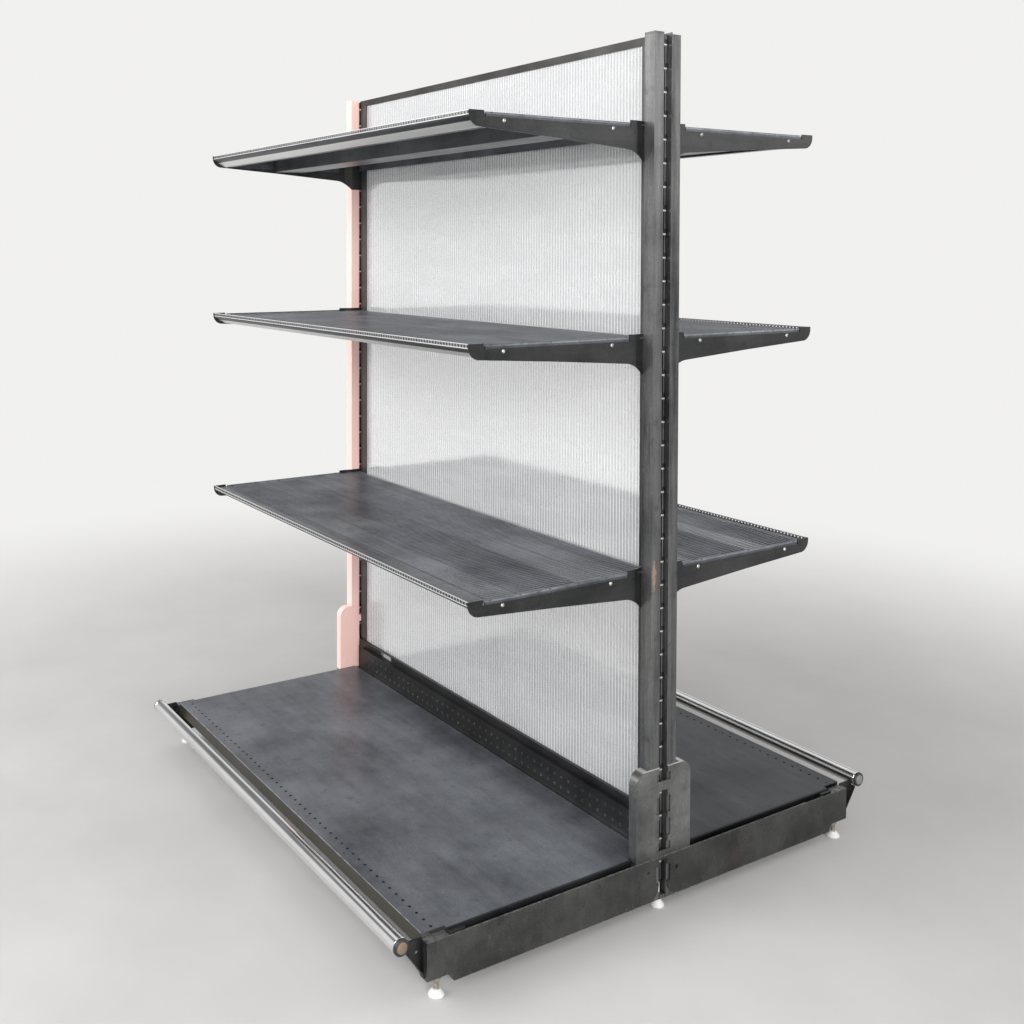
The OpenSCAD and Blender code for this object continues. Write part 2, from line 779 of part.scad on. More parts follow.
// Shelf bracket for the near end on the back side, with two hooks
module bracket(z) {
    sheet_x = inner_x + groove_depth + upright_wall;
    tip_x = sheet_x + gap + hook_grip;
    translate([0, 0, z]) {
        intersection() {
            along_x(bracket_in - eps, bracket_jog + bracket_t + 2 * eps) bracket_outline();
            translate([0, 0, -bracket_heel_h - eps])
                linear_extrude(bracket_heel_h + rear_rise + 2 * eps) bracket_path();
        }
        for (i = [0, 1]) {
            low = seat_gap - hook_drop - i * slot_pitch;
            block([bracket_in, lug_y, low], [tip_x, lug_y + hook_t, low + hook_h]);
            block([sheet_x + gap, lug_y, low - hook_nose], [tip_x, lug_y + hook_t, low + 1]);
        }
    }
}

// Section of a shelf's near side: the raised edge over the bracket and the fold down inside it
module side_section() {
    x0 = shelf_x - shelf_t;
    edge_x = bracket_x + bracket_t;
    edge_z = -edge_drop - edge_h;
    fold_z = -shelf_drop - shelf_fold;
    polygon([[x0, fold_z], [shelf_x, fold_z], [shelf_x, edge_z], [edge_x, edge_z],
             [edge_x, -edge_drop], [x0, -edge_drop]]);
}

// Shelf: a sheet with raised side edges, side folds, a rear fold and a rounded nose with a lip
module shelf_deck(z) {
    top = -shelf_drop;
    rear_x = bracket_in - 0.5;
    front_y = nose_y + shelf_nose_r - shelf_t / 2;
    translate([0, 0, z])
        difference() {
            union() {
                block([-shelf_x, rear_end - 2, top - shelf_t], [shelf_x, front_y, top]);
                block([-rear_x, shelf_rear, top - shelf_t], [rear_x, side_start, top]);
                block([-rear_x, shelf_rear, top - rear_fold], [rear_x, shelf_rear + shelf_t, top]);
                along_x(-shelf_x, 2 * shelf_x) nose_section();
                for (e = ENDS)
                    at_end(e)
                        translate([0, side_end, 0])
                            rotate([90, 0, 0])
                                linear_extrude(side_end - side_start) side_section();
            }
            for (e = ENDS)
                at_end(e)
                    for (y = [screw_in, screw_out])
                        translate([shelf_x - shelf_t - eps, y, -screw_drop])
                            rotate([0, 90, 0])
                                cylinder(d = screw_d + 2 * bore_gap, h = shelf_t + 2 * eps,
                                         $fn = 24);
        }
}

// Section of the shelf's nose: lip, quarter round and the fold back under the shelf
module nose_section() {
    r = shelf_nose_r;
    t = shelf_t;
    bottom = -nose_flat - r;
    translate([nose_y + r - t, -nose_flat]) square([t, nose_flat]);
    intersection() {
        translate([nose_y, -nose_flat])
            difference() {
                circle(r);
                circle(r - t);
            }
        translate([nose_y, bottom]) square([r + eps, r]);
    }
    translate([nose_y - nose_return, bottom]) square([nose_return, t]);
    translate([nose_y - nose_return, bottom]) square([t, 7]);
}

// Wide channel under a shelf between its side folds
module shelf_rail(z) {
    top = -shelf_drop - shelf_t - 0.05;
    len = 2 * (shelf_x - shelf_t - 0.1);
    translate([-len / 2, rail_y - rail_w / 2, z + top - rail_h])
        difference() {
            cube([len, rail_w, rail_h]);
            translate([-eps, shelf_t, shelf_t])
                cube([len + 2 * eps, rail_w - 2 * shelf_t, rail_h]);
        }
}

// The four button-head screws that join a shelf to its brackets
module shelf_screws(z) {
    for (e = ENDS)
        at_end(e)
            for (y = [screw_in, screw_out])
                translate([bracket_x + bracket_t, y, z - screw_drop])
                    rotate([0, 90, 0]) {
                        cylinder(d = screw_head_d, h = screw_head_h, $fn = 32);
                        translate([0, 0, -bracket_t - 4])
                            cylinder(d = screw_d, h = bracket_t + 4.5, $fn = 32);
                    }
}

module shelf_piece(s, l, p) {
    z = level_z(l);
    color(steel)
        on_side(s) {
            if (p == "deck") shelf_deck(z);
            if (p == "bracket_near") bracket(z);
            if (p == "bracket_far") at_end("far") bracket(z);
            if (p == "rail") shelf_rail(z);
            if (p == "screws") shelf_screws(z);
        }
}

// Pad of a foot with its socket for the stud
module pad(d) {
    rotate_extrude()
        polygon([[0, 0], [d / 2 - 1, 0], [d / 2, 1], [d / 2, pad_rim_h],
                 [stud_d / 2 + 4, pad_h - 1], [stud_d / 2 + 3, pad_h], [stud_d / 2 + bore_gap, pad_h],
                 [stud_d / 2 + bore_gap, pad_rim_h], [0, pad_rim_h]]);
}

// Stud of a foot with its lock nut just under the plate that it screws into
module stud(top, plate_z) {
    nut_r = nut_af / sqrt(3);
    translate([0, 0, pad_rim_h + 0.1]) cylinder(d = stud_d, h = top - pad_rim_h - 0.1);
    translate([0, 0, plate_z - 0.1 - nut_h]) cylinder(r = nut_r, h = nut_h, $fn = 6);
}

module foot_pad(c) color(plastic) corner(c) translate([foot_x, foot_y, 0]) pad(foot_pad_d);

module foot_stud(c)
    color(light_steel) corner(c) translate([foot_x, foot_y, 0]) stud(stud_top, leg_bottom_out);

// Foot under an upright: a small pad and its stud
module middle_foot(e) {
    translate([e == "far" ? -upright_x : upright_x, 0, 0]) {
        color(plastic) pad(middle_pad_d);
        color(light_steel) stud(middle_stud_top, upright_bottom);
    }
}

upright_near();
upright_far();
upright_caps();
panel();
top_rail();
side_strips();
panel_channel();
cross_beam();
riser_strip("front");  // riser_strip_front
riser_strip("back");  // riser_strip_back
base_rails();
base_deck("front");  // base_deck_front
base_deck("back");  // base_deck_back
bumper_tubes();
bumper_brackets();
bumper_caps();
for (c = CORNERS) {
    corner_leg(c);
    foot_pad(c);
    foot_stud(c);
}
for (e = ENDS)
    middle_foot(e);
for (s = SIDES)
    for (l = LEVELS)
        for (p = PIECES)
            shelf_piece(s, l, p);
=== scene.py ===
import math

import bmesh
import bpy
from mathutils import Matrix, Vector

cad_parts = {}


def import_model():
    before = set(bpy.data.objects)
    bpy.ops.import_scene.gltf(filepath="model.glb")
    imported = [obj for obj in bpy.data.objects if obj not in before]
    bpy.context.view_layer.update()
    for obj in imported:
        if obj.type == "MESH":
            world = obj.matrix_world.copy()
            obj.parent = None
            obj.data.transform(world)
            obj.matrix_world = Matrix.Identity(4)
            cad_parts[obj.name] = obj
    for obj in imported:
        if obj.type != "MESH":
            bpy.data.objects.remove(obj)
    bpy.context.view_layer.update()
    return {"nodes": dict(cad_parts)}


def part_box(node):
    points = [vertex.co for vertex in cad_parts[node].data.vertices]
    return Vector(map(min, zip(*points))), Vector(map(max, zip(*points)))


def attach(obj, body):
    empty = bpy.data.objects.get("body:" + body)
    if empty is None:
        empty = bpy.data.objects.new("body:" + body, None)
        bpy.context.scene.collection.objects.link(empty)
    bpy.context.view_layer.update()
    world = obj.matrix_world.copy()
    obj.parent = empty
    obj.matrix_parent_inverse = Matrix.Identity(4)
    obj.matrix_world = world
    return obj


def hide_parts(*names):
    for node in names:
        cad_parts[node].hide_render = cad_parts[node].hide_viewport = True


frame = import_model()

MM = 0.001

# Halves, ends and levels of the bay

SIDES = {"front": -1, "back": 1}
ENDS = {"near": 1, "far": -1}
CORNERS = [(end, side) for end in ENDS for side in SIDES]
LEVELS = ("low", "middle", "top")

# Uprights: the groove down their middle and the hanging slots in its web

GROOVE = 10.7 * MM
WEB_EDGE = 5 * MM
SLOT_EDGE = 2.2 * MM
SLOT_FIRST = 58 * MM
SLOT_STEP = 50 * MM
SLOT_LONG = 37 * MM
GLINT_EDGE = 7 * MM
GLINT_UP = 1.5 * MM
GLINT_WIDE = 2.6 * MM
PATCH_MIDDLE = (-30 * MM, 722 * MM)
PATCH_SIZE = (6 * MM, 30 * MM)

# Legs: their top edge lies a little below the top of the rails

LEG_BELOW_RAILS = 5.4 * MM
TAB_FADE = 30 * MM

# Small holes of the decks and riser strips

HOLE_PITCH = 25 * MM
DECK_HOLE_SHIFT = 2 * MM
DECK_HOLE_INSET = 28 * MM
DECK_HOLE_R = 3.4 * MM
RISER_ROWS = (144 * MM, 168 * MM)
RISER_MARGIN = 30 * MM
RISER_FACE = 26 * MM

# Shelf sheet and its folds

SHEET_T = 1.5 * MM
SHEET_INSET = 2.5 * MM
SHELF_DROP = 5 * MM
LIP_H = 9.2 * MM
LIP_HOLE_R = 2.6 * MM
NOSE_FLAT = 6 * MM
NOSE_R = 24 * MM
NOSE_FOLD = 34 * MM
NOSE_RETURN = 7 * MM
FOLD_R = 4 * MM
FOLD_INSET = 10 * MM
REAR_FOLD = 22 * MM
REAR_X = 624.5 * MM
SIDE_FOLD = 27 * MM
SIDE_START = 81 * MM
SIDE_STOP = 14 * MM
BEAD_R = 2.45 * MM
BEAD_DROP = 6.4 * MM
BEAD_UP = 0.4 * MM

# Slots of the shelf sheet, in rows that lie half a pitch from each other

SLOT_PITCH = 10 * MM
SLOT_W = 5 * MM
ROW_PITCH = 75 * MM
ROW_START = 65 * MM
ROW_COUNT = 5
BRIDGE = 3.4 * MM
FIRST_SLOT_Y = 22 * MM
LAST_SLOT_Y = 462 * MM

# Panel flutes

FLUTE_PITCH = 10 * MM
FLUTE_BULGE = 0.2 * MM
FLUTE_STEPS = 6

# Foot pads

PAD_ROUND = 1 * MM
PAD_RIM = 3.4 * MM
PAD_COLLAR_R = 9 * MM
STUD_HOLE_R = 5.1 * MM
STUD_SEAT = 4.2 * MM

# Screws of the shelf brackets

SCREW_Y = (128 * MM, 410 * MM)
SCREW_INSET = 2.5 * MM

# Turned profiles of (radius, height) in millimetres. Those of the bumpers start from the tube's radius

BUTTON_HEAD = [(0, -6), (2.5, -6), (2.5, 0), (4.5, 0), (4.4, 0.6), (3.8, 1.5), (2.9, 2.2),
               (2.0, 2.45), (1.4, 2.45), (1.3, 0.9), (0, 0.7)]
HOLE_RIM = [(2.5, -0.4), (2.5, 0.2), (2.8, 0.25), (3.0, 0)]
TUBE_END = [(-1.5, 0), (0.4, 0), (0.7, 0.3), (0.7, 3.2), (0, 3.6)]
END_CAP = [(-1.6, -14), (-1.6, 0.1), (0.1, 0.1), (0.2, 1.0), (0.1, 3.8), (-0.6, 5.0), (-1.8, 5.8),
           (-4.0, 6.2), (-5.2, 5.6)]
END_FACE = [(-5.0, 5.4), (-5.8, 6.5), (-8.5, 6.9)]
END_FACE_TOP = 7 * MM

# Colours

ROSE_DARK = (0.97, 0.62, 0.55)
ROSE_LIGHT = (1.0, 0.68, 0.61)
RUST = (0.2, 0.105, 0.055)
TAN_PATCH = (0.36, 0.23, 0.15)
OLIVE_FOLD = (0.055, 0.05, 0.038)
# Painted shade in the holes of the decks and of the shelf lips
DECK_HOLE_SHADE = (0.006, 0.006, 0.006)
LIP_HOLE = (0.004, 0.004, 0.004)
LIP_STEEL = (0.3, 0.3, 0.298)
SLOT_GLINT = (0.9, 0.9, 0.89)
LIP_GLINT = (0.85, 0.85, 0.84)
# Painted light: the pale return under a shelf's nose, and highlights on the shelves' rear edges and the
# legs' tab tops
PALE_RETURN_PAINTED_LIGHT = (0.75, 0.75, 0.74)
REAR_EDGE_HIGHLIGHT = (0.62, 0.62, 0.61)
LEG_TOP_HIGHLIGHT = (0.6, 0.6, 0.59)
FLUTE_GREY = (0.68, 0.69, 0.71)
# Tones of the two decks. The back deck's darker tones are painted shade, for the shade behind the panel.
DECK_TONES_WITH_SHADED_BACK = {"front": ((0.08, 0.087, 0.102), (0.22, 0.233, 0.258)),
              "back": ((0.035, 0.037, 0.041), (0.095, 0.1, 0.11))}
SHELF_TONES = ((0.055, 0.062, 0.076), (0.25, 0.265, 0.29))

# Studio

GLOW = (1.0, 0.995, 0.985, 1)
BACKDROP = 0.88
AMBIENT = 0.66
FLOOR_R = 14.0
FLOOR_FADE = (1.3, 3.6)
FLOOR_TONES = ((0.3, (0.45, 0.444, 0.436)), (0.7, (0.52, 0.514, 0.506)))
REFLECTED_BANDS = ((0.0, 0.85), (0.3, 0.95), (0.42, 0.5), (0.52, 0.22), (0.6, 0.25), (0.66, 1.0),
                   (0.84, 0.9), (0.9, 0.3))
CAMERA_PLACE = (2.3996, -1.7518, 1.4125)
CAMERA_TILT = math.radians(88.46)
CAMERA_TURN = math.radians(59.56)
CAMERA_LENS = 39.73
CAMERA_SENSOR = 36.0
CAMERA_SHIFT = (0.139, -0.226)


# Node trees

class Nodes:
    """Short calls that add shader nodes to one node tree."""

    def __init__(self, tree):
        self.tree = tree

    def node(self, kind, inputs=(), **attributes):
        made = self.tree.nodes.new("ShaderNode" + kind)
        for key, value in attributes.items():
            setattr(made, key, value)
        for key, value in dict(inputs).items():
            self.plug(value, made.inputs[key])
        return made

    def plug(self, value, socket):
        """Links an output to a socket, or sets the socket to a plain value."""
        if isinstance(value, bpy.types.NodeSocket):
            self.tree.links.new(value, socket)
        else:
            socket.default_value = value

    def place(self, scale=(1, 1, 1), shift=(0, 0, 0)):
        """Object coordinates in metres, stretched by scale."""
        source = self.node("TexCoord").outputs["Object"]
        return self.node("Mapping", {"Vector": source, "Scale": scale, "Location": shift}).outputs[0]

    def along(self, axis):
        """One object coordinate in metres, which is the frame's own coordinate."""
        return self.node("SeparateXYZ", {0: self.node("TexCoord").outputs["Object"]}).outputs[axis]

    def from_middle(self):
        """Distance from the middle plane between the bay's two halves."""
        return self.math("ABSOLUTE", self.along("Y"))

    def noise(self, scale, where, detail=4.0, roughness=0.6):
        inputs = {"Vector": where, "Scale": scale, "Detail": detail, "Roughness": roughness}
        return self.node("TexNoise", inputs).outputs["Fac"]

    def ramp(self, factor, *stops):
        """A ramp of (place, colour or grey) stops over factor."""
        made = self.node("ValToRGB", {"Fac": factor})
        while len(made.color_ramp.elements) < len(stops):
            made.color_ramp.elements.new(0.5)
        for element, (at, colour) in zip(made.color_ramp.elements, stops):
            element.position = at
            if isinstance(colour, (int, float)):
                colour = (colour,) * 3
            element.color = (*colour, 1)
        return made.outputs["Color"]

    def span(self, factor, low, high, to_low, to_high):
        return self.node("MapRange", {"Value": factor, "From Min": low, "From Max": high,
                                      "To Min": to_low, "To Max": to_high}).outputs[0]

    def math(self, kind, a, b=0.0):
        return self.node("Math", {0: a, 1: b}, operation=kind).outputs[0]

    def mix(self, factor, a, b, blend="MIX"):
        made = self.node("Mix", {"Factor": factor}, data_type="RGBA", blend_type=blend)
        for value, socket in ((a, made.inputs[6]), (b, made.inputs[7])):
            if isinstance(value, tuple) and len(value) == 3:
                value = (*value, 1)
            self.plug(value, socket)
        return made.outputs[2]

    def both(self, *masks):
        """1 where all the masks are 1."""
        made = masks[0]
        for mask in masks[1:]:
            made = self.math("MULTIPLY", made, mask)
        return made

    def above(self, value, at, soft=0.3 * MM):
        return self.span(value, at - soft, at + soft, 0.0, 1.0)

    def below(self, value, at, soft=0.3 * MM):
        return self.span(value, at - soft, at + soft, 1.0, 0.0)

    def line(self, value, at, width):
        """1 where value is at this place, falling to 0 at a distance of width."""
        away = self.math("ABSOLUTE", self.math("SUBTRACT", value, at))
        return self.span(away, 0.0, width, 1.0, 0.0)

    def squares(self, a, b):
        return self.math("ADD", self.math("POWER", a, 2.0), self.math("POWER", b, 2.0))

    def distance(self, a, b):
        """Distance from a point, given the two offsets from it."""
        return self.math("SQRT", self.squares(a, b))

    def past_repeat(self, value, first, pitch):
        """How far a value is past the last repeat of a row, in metres."""
        return self.math("FLOORED_MODULO", self.math("SUBTRACT", value, first), pitch)

    def from_repeat(self, value, first, pitch):
        """How far a value is from the nearest repeat of a row, in metres, with its sign."""
        return self.math("SUBTRACT", self.past_repeat(value, first - pitch / 2, pitch), pitch / 2)

    def seen(self):
        """1 for rays from the camera, or through glass, or off a shiny surface."""
        path = self.node("LightPath").outputs
        made = path["Is Camera Ray"]
        for kind in ("Is Glossy Ray", "Is Transmission Ray"):
            made = self.math("MAXIMUM", made, path[kind])
        return made


class Shader(Nodes):
    """A node material with one Principled shader."""

    def __init__(self, name, **settings):
        self.material = bpy.data.materials.new(name)
        self.material.use_nodes = True
        super().__init__(self.material.node_tree)
        self.bsdf = self.tree.nodes["Principled BSDF"]
        for key, value in settings.items():
            self.bsdf.inputs[key.replace("_", " ")].default_value = value

    def bump(self, height, distance, strength=1.0):
        made = self.node("Bump", {"Height": height, "Distance": distance, "Strength": strength})
        self.plug(made.outputs[0], self.bsdf.inputs["Normal"])

    def colour(self, value):
        self.plug(value, self.bsdf.inputs["Base Color"])

    def rough(self, value):
        self.plug(value, self.bsdf.inputs["Roughness"])


def stretched(along, across, lengthwise):
    """Noise scales on three axes, lower on the one that the streaks run along."""
    return [lengthwise if axis == along else across for axis in "xyz"]


class Steel(Shader):
    """Blackened steel: cloudy mill scale, streaks along one axis, stains and fine scratches."""

    def __init__(self, name, dark, light, along="z", rough=(0.26, 0.42), scratch=0.3, streak=0.4):
        super().__init__(name)
        self.clouds = self.noise(6.0, self.place(), detail=7.0, roughness=0.64)
        streaks = self.noise(1.0, self.place(stretched(along, 24.0, 1.6)), detail=5.0, roughness=0.7)
        blend = self.math("ADD", self.math("MULTIPLY", streaks, streak),
                          self.math("MULTIPLY", self.clouds, 1 - streak))
        middle = tuple((d + l) / 2 for d, l in zip(dark, light))
        self.base = self.ramp(blend, (0.36, dark), (0.5, middle), (0.64, light))
        self.bright = tuple(min(1.0, 3.0 * c) for c in light)
        hairs = self.noise(9.0, self.place(stretched(along, 60.0, 5.0)), detail=2.0, roughness=0.5)
        self.cover(self.span(hairs, 0.66, 0.76, 0.0, scratch), self.bright)
        specks = self.noise(420.0, self.place(), detail=2.0, roughness=0.7)
        grain = self.ramp(specks, (0.35, 0.85), (0.65, 1.16))
        self.base = self.mix(1.0, self.base, grain, "MULTIPLY")
        grime = self.noise(34.0, self.place(), detail=3.0)
        self.cover(self.span(grime, 0.6, 0.8, 0.0, 0.5), tuple(0.45 * c for c in dark))
        self.metal = 0.6
        self.shine = self.span(self.clouds, 0.3, 0.7, *rough)
        self.bump(streaks, 0.12 * MM, 0.5)

    def cover(self, mask, colour):
        """Lays a colour over the steel where the mask is 1."""
        self.base = self.mix(mask, self.base, colour)

    def shade(self, mask, factor):
        """Makes the steel darker, or lighter, where the mask is 1."""
        self.base = self.mix(mask, self.base, self.mix(1.0, self.base, (factor,) * 3, "MULTIPLY"))

    def edge_highlight(self, value, at, width, strength=0.8, within=1.0):
        """A bright line along an edge: a painted highlight, broken up unevenly."""
        patchy = self.span(self.noise(70.0, self.place(), detail=3.0), 0.36, 0.6, 0.15, strength)
        self.cover(self.both(self.line(value, at, width), patchy, within), self.bright)

    def slot_column(self):
        """Painted shade in the groove and on the bridges between its slots, painted light on the slotted
        web, and a painted glint on the lower edge of each bridge.
        """
        y = self.from_middle()
        groove = self.below(y, GROOVE)
        self.shade(groove, 0.4)
        self.shade(self.both(self.below(y, WEB_EDGE), self.above(y, SLOT_EDGE)), 4.5)
        past = self.past_repeat(self.along("Z"), SLOT_FIRST, SLOT_STEP)
        self.shade(self.both(groove, self.above(past, SLOT_LONG)), 0.35)
        glint = self.line(past, SLOT_LONG + GLINT_UP, GLINT_WIDE)
        self.cover(self.both(self.below(y, GLINT_EDGE), glint), SLOT_GLINT)

    def rust(self, strength, scale=7.0):
        spots = self.noise(scale, self.place(shift=(3.1, 1.7, 0.4)), detail=5.0)
        self.cover(self.span(spots, 0.68, 0.76, 0.0, strength), RUST)

    def worn_patch(self, middle, size):
        """One tan worn patch with a ragged edge, on the side that faces along the bay."""
        noise = self.noise(90.0, self.place(), detail=6.0)
        ragged = self.math("MULTIPLY", self.math("SUBTRACT", noise, 0.5), 4.0)
        offsets = [self.math("DIVIDE", self.math("SUBTRACT", self.along(axis), at), reach)
                   for axis, at, reach in zip("YZ", middle, size)]
        away = self.math("ADD", self.squares(*offsets), ragged)
        self.cover(self.span(away, 0.5, 1.1, 0.85, 0.0), TAN_PATCH)

    def painted(self, where):
        """Pale rose paint over the steel where the mask is 1."""
        rose = self.ramp(self.clouds, (0.3, ROSE_DARK), (0.7, ROSE_LIGHT))
        self.base = self.mix(where, self.base, rose)
        self.shine = self.mix(where, self.shine, (0.6, 0.6, 0.6))
        self.metal = self.span(where, 0.0, 1.0, self.metal, 0.0)

    def done(self):
        self.colour(self.base)
        self.rough(self.shine)
        self.plug(self.metal, self.bsdf.inputs["Metallic"])
        return self.material


# Materials

def chrome():
    """Polished tube with a light haze of fingerprints."""
    s = Shader("bumper_chrome", Metallic=1.0)
    haze = s.noise(14.0, s.place((0.5, 1, 1)), detail=5.0)
    s.colour(s.ramp(haze, (0.3, (0.74, 0.74, 0.745)), (0.7, (0.86, 0.86, 0.865))))
    s.rough(s.span(haze, 0.35, 0.75, 0.05, 0.14))
    return s.material


def plastic(name, dark, light, rough=0.45):
    """Moulded plastic with a fine grain."""
    s = Shader(name, Roughness=rough)
    clouds = s.noise(40.0, s.place(), detail=4.0)
    s.colour(s.ramp(clouds, (0.3, dark), (0.7, light)))
    s.bump(s.noise(900.0, s.place(), detail=2.0), 0.05 * MM, 0.4)
    return s.material


def zinc(name, dark, light):
    """Zinc plated steel with crystalline patches."""
    s = Shader(name, Metallic=0.9)
    patches = s.node("TexVoronoi", {"Vector": s.place(), "Scale": 260.0}).outputs["Color"]
    grey = s.node("RGBToBW", {0: patches}).outputs[0]
    s.colour(s.ramp(grey, (0.2, dark), (0.8, light)))
    s.rough(s.span(grey, 0.2, 0.8, 0.28, 0.42))
    return s.material


def polycarbonate(start, pitch):
    """Clear twin-wall sheet with wipe marks. Each web between its flutes draws a fine grey line."""
    s = Shader("fluted_polycarbonate", IOR=1.5)
    cell = s.math("FRACT", s.math("DIVIDE", s.math("SUBTRACT", s.along("X"), start), pitch))
    from_web = s.math("SUBTRACT", 0.5, s.math("ABSOLUTE", s.math("SUBTRACT", cell, 0.5)))
    web = s.span(from_web, 0.08, 0.2, 1.0, 0.0)
    wipe = s.noise(9.0, s.place((0.5, 1, 2.2)), detail=5.0, roughness=0.62)
    clean = s.ramp(wipe, (0.35, (0.98, 0.98, 0.982)), (0.6, (1.0, 1.0, 1.0)))
    s.colour(s.mix(web, clean, FLUTE_GREY))
    s.rough(s.span(wipe, 0.4, 0.7, 0.06, 0.1))
    clear = s.span(wipe, 0.35, 0.75, 0.78, 0.7)
    s.plug(s.both(clear, s.span(web, 0.0, 1.0, 1.0, 0.35)), s.bsdf.inputs["Transmission Weight"])
    return s.material


def near_upright_steel():
    s = Steel("blackened_steel", (0.03, 0.031, 0.033), (0.18, 0.18, 0.178), streak=0.7)
    s.rust(0.2)
    s.worn_patch(PATCH_MIDDLE, PATCH_SIZE)
    s.slot_column()
    return s.done()


def far_upright_steel():
    """Rose paint on the front tube, bare steel behind it."""
    s = Steel("rose_paint", (0.03, 0.031, 0.033), (0.14, 0.139, 0.137))
    s.slot_column()
    s.painted(s.below(s.along("Y"), -GROOVE))
    return s.done()


def cap_steel():
    """The caps: bare steel at the near end, rose at the far end's front."""
    s = Steel("cap_steel", (0.05, 0.051, 0.052), (0.14, 0.139, 0.137))
    s.painted(s.both(s.below(s.along("X"), 0.0), s.below(s.along("Y"), -GROOVE)))
    return s.done()


def leg_steel(name, rose_tab=False):
    """A leg is dark below and lighter on its tab, with painted highlights along its edges. One tab is
    painted rose.
    """
    s = Steel(name, (0.03, 0.031, 0.031), (0.085, 0.085, 0.083), rough=(0.22, 0.34), streak=0.12)
    foot, tab_top = (corner.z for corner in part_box("base_leg_near_front"))
    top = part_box("base_rails")[1].z - LEG_BELOW_RAILS
    height = s.along("Z")
    s.shade(s.span(height, top, top + TAB_FADE, 0.0, 1.0), 2.3)
    # Painted highlights: broken lines along the leg's top and bottom edges, and a full line along the top
    # of its tab.
    s.edge_highlight(height, top, 1.3 * MM)
    s.edge_highlight(height, foot, 1.4 * MM, 0.6)
    s.cover(s.line(height, tab_top, 2.4 * MM), LEG_TOP_HIGHLIGHT)
    s.rust(0.15)
    if rose_tab:
        s.painted(s.span(height, top + 2 * MM, top + 3 * MM, 0.0, 1.0))
    return s.done()


def depth_range(node):
    """How near and how far a node lies from the middle plane."""
    low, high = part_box(node)
    return sorted((abs(low.y), abs(high.y)))


def deck_steel(side):
    """Semi-gloss deck with painted highlights along its edges, an olive front fold, painted shade along its
    near end and painted shade in a row of holes.
    """
    node = f"base_deck_{side}"
    inner, outer = depth_range(node)
    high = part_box(node)[1]
    s = Steel(f"deck_steel_{side}", *DECK_TONES_WITH_SHADED_BACK[side], "x", rough=(0.3, 0.46), scratch=0.2, streak=0.25)
    y = s.from_middle()
    z = s.along("Z")
    fold = s.both(s.below(z, high.z - 1.2 * MM), s.above(y, outer - 1 * MM))
    s.cover(fold, OLIVE_FOLD)
    top = s.above(z, high.z - 1.0 * MM)
    for edge in (outer, inner):
        s.edge_highlight(y, edge, 1.6 * MM, within=top)
    # Painted shade along the near end, where the gap to the leg lies in shade.
    s.shade(s.above(s.along("X"), high.x - 5 * MM), 0.12)
    # Painted shade in the holes: dark discs a little wider than the holes.
    along_row = s.from_repeat(s.along("X"), DECK_HOLE_SHIFT, HOLE_PITCH)
    across_row = s.math("SUBTRACT", y, outer - DECK_HOLE_INSET)
    s.cover(s.below(s.distance(along_row, across_row), DECK_HOLE_R, 0.4 * MM), DECK_HOLE_SHADE)
    s.rust(0.12, scale=4.0)
    return s.done()


def shelf_steel(side, level):
    """Shelf sheet with painted highlights on its pierced lip and rear edge, painted shade under it and in
    the lip's holes, and a pale return of painted light.
    """
    node = f"shelf_{side}_{level}_deck"
    rear, lip = depth_range(node)
    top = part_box(node)[1].z
    s = Steel(f"shelf_steel_{side}_{level}", *SHELF_TONES, "x", rough=(0.32, 0.48), streak=0.3)
    y = s.from_middle()
    z = s.along("Z")
    row_gap = s.line(s.from_repeat(y, ROW_START, ROW_PITCH), 0.0, 3.4 * MM)
    s.shade(s.both(row_gap, s.above(z, top - 5.6 * MM)), 0.35)
    # Painted shade under the sheet back from the nose, and in the hollow under the lip.
    s.shade(s.both(s.below(z, top - 6.4 * MM), s.below(y, lip - NOSE_R)), 0.45)
    s.shade(s.both(s.below(z, top - LIP_H), s.above(y, lip - 14 * MM)), 0.3)
    # Painted light on the return fold under the nose.
    pale = s.both(s.below(z, top - 13 * MM), s.above(y, lip - NOSE_R - NOSE_FOLD / 2),
                  s.below(y, lip - 13 * MM))
    s.cover(s.both(pale, 0.9), PALE_RETURN_PAINTED_LIGHT)
    on_lip = s.above(y, lip - 1.9 * MM)
    s.cover(s.both(on_lip, s.above(z, top - LIP_H - 0.4 * MM), 0.85), LIP_STEEL)
    # Painted shade in the lip's holes: dark discs a little wider than the holes.
    from_hole = s.distance(s.from_repeat(s.along("X"), SLOT_PITCH / 2, SLOT_PITCH),
                           s.math("SUBTRACT", z, top - LIP_H / 2))
    s.cover(s.both(s.below(from_hole, 2.9 * MM, 0.2 * MM), s.above(y, lip - 12 * MM)), LIP_HOLE)
    for height in (top - 0.4 * MM, top - LIP_H + 0.5 * MM):
        s.cover(s.both(s.line(z, height, 1.1 * MM), on_lip), LIP_GLINT)
    # Painted highlight along the rear edge.
    s.cover(s.both(s.below(y, rear + 2.4 * MM), s.above(z, top - 7 * MM)), REAR_EDGE_HIGHLIGHT)
    return s.done()


STEEL = near_upright_steel()
STEEL_STRIP = Steel("strip_steel", (0.035, 0.035, 0.036), (0.1, 0.1, 0.099)).done()
# Painted shade: a darker copy of the steel, for parts that sit in shade.
STEEL_PAINTED_SHADE = Steel("painted_shade_steel", (0.012, 0.012, 0.0125), (0.04, 0.04, 0.04), "x").done()
STEEL_SHELF = Steel("shelf_rail_steel", (0.03, 0.032, 0.036), (0.085, 0.089, 0.096), "x").done()
STEEL_BRACKET = Steel("bracket_steel", (0.014, 0.015, 0.016), (0.046, 0.046, 0.047), "y",
                      rough=(0.22, 0.36)).done()
STEEL_RAIL = Steel("rail_steel", (0.028, 0.027, 0.026), (0.075, 0.071, 0.067), "x").done()
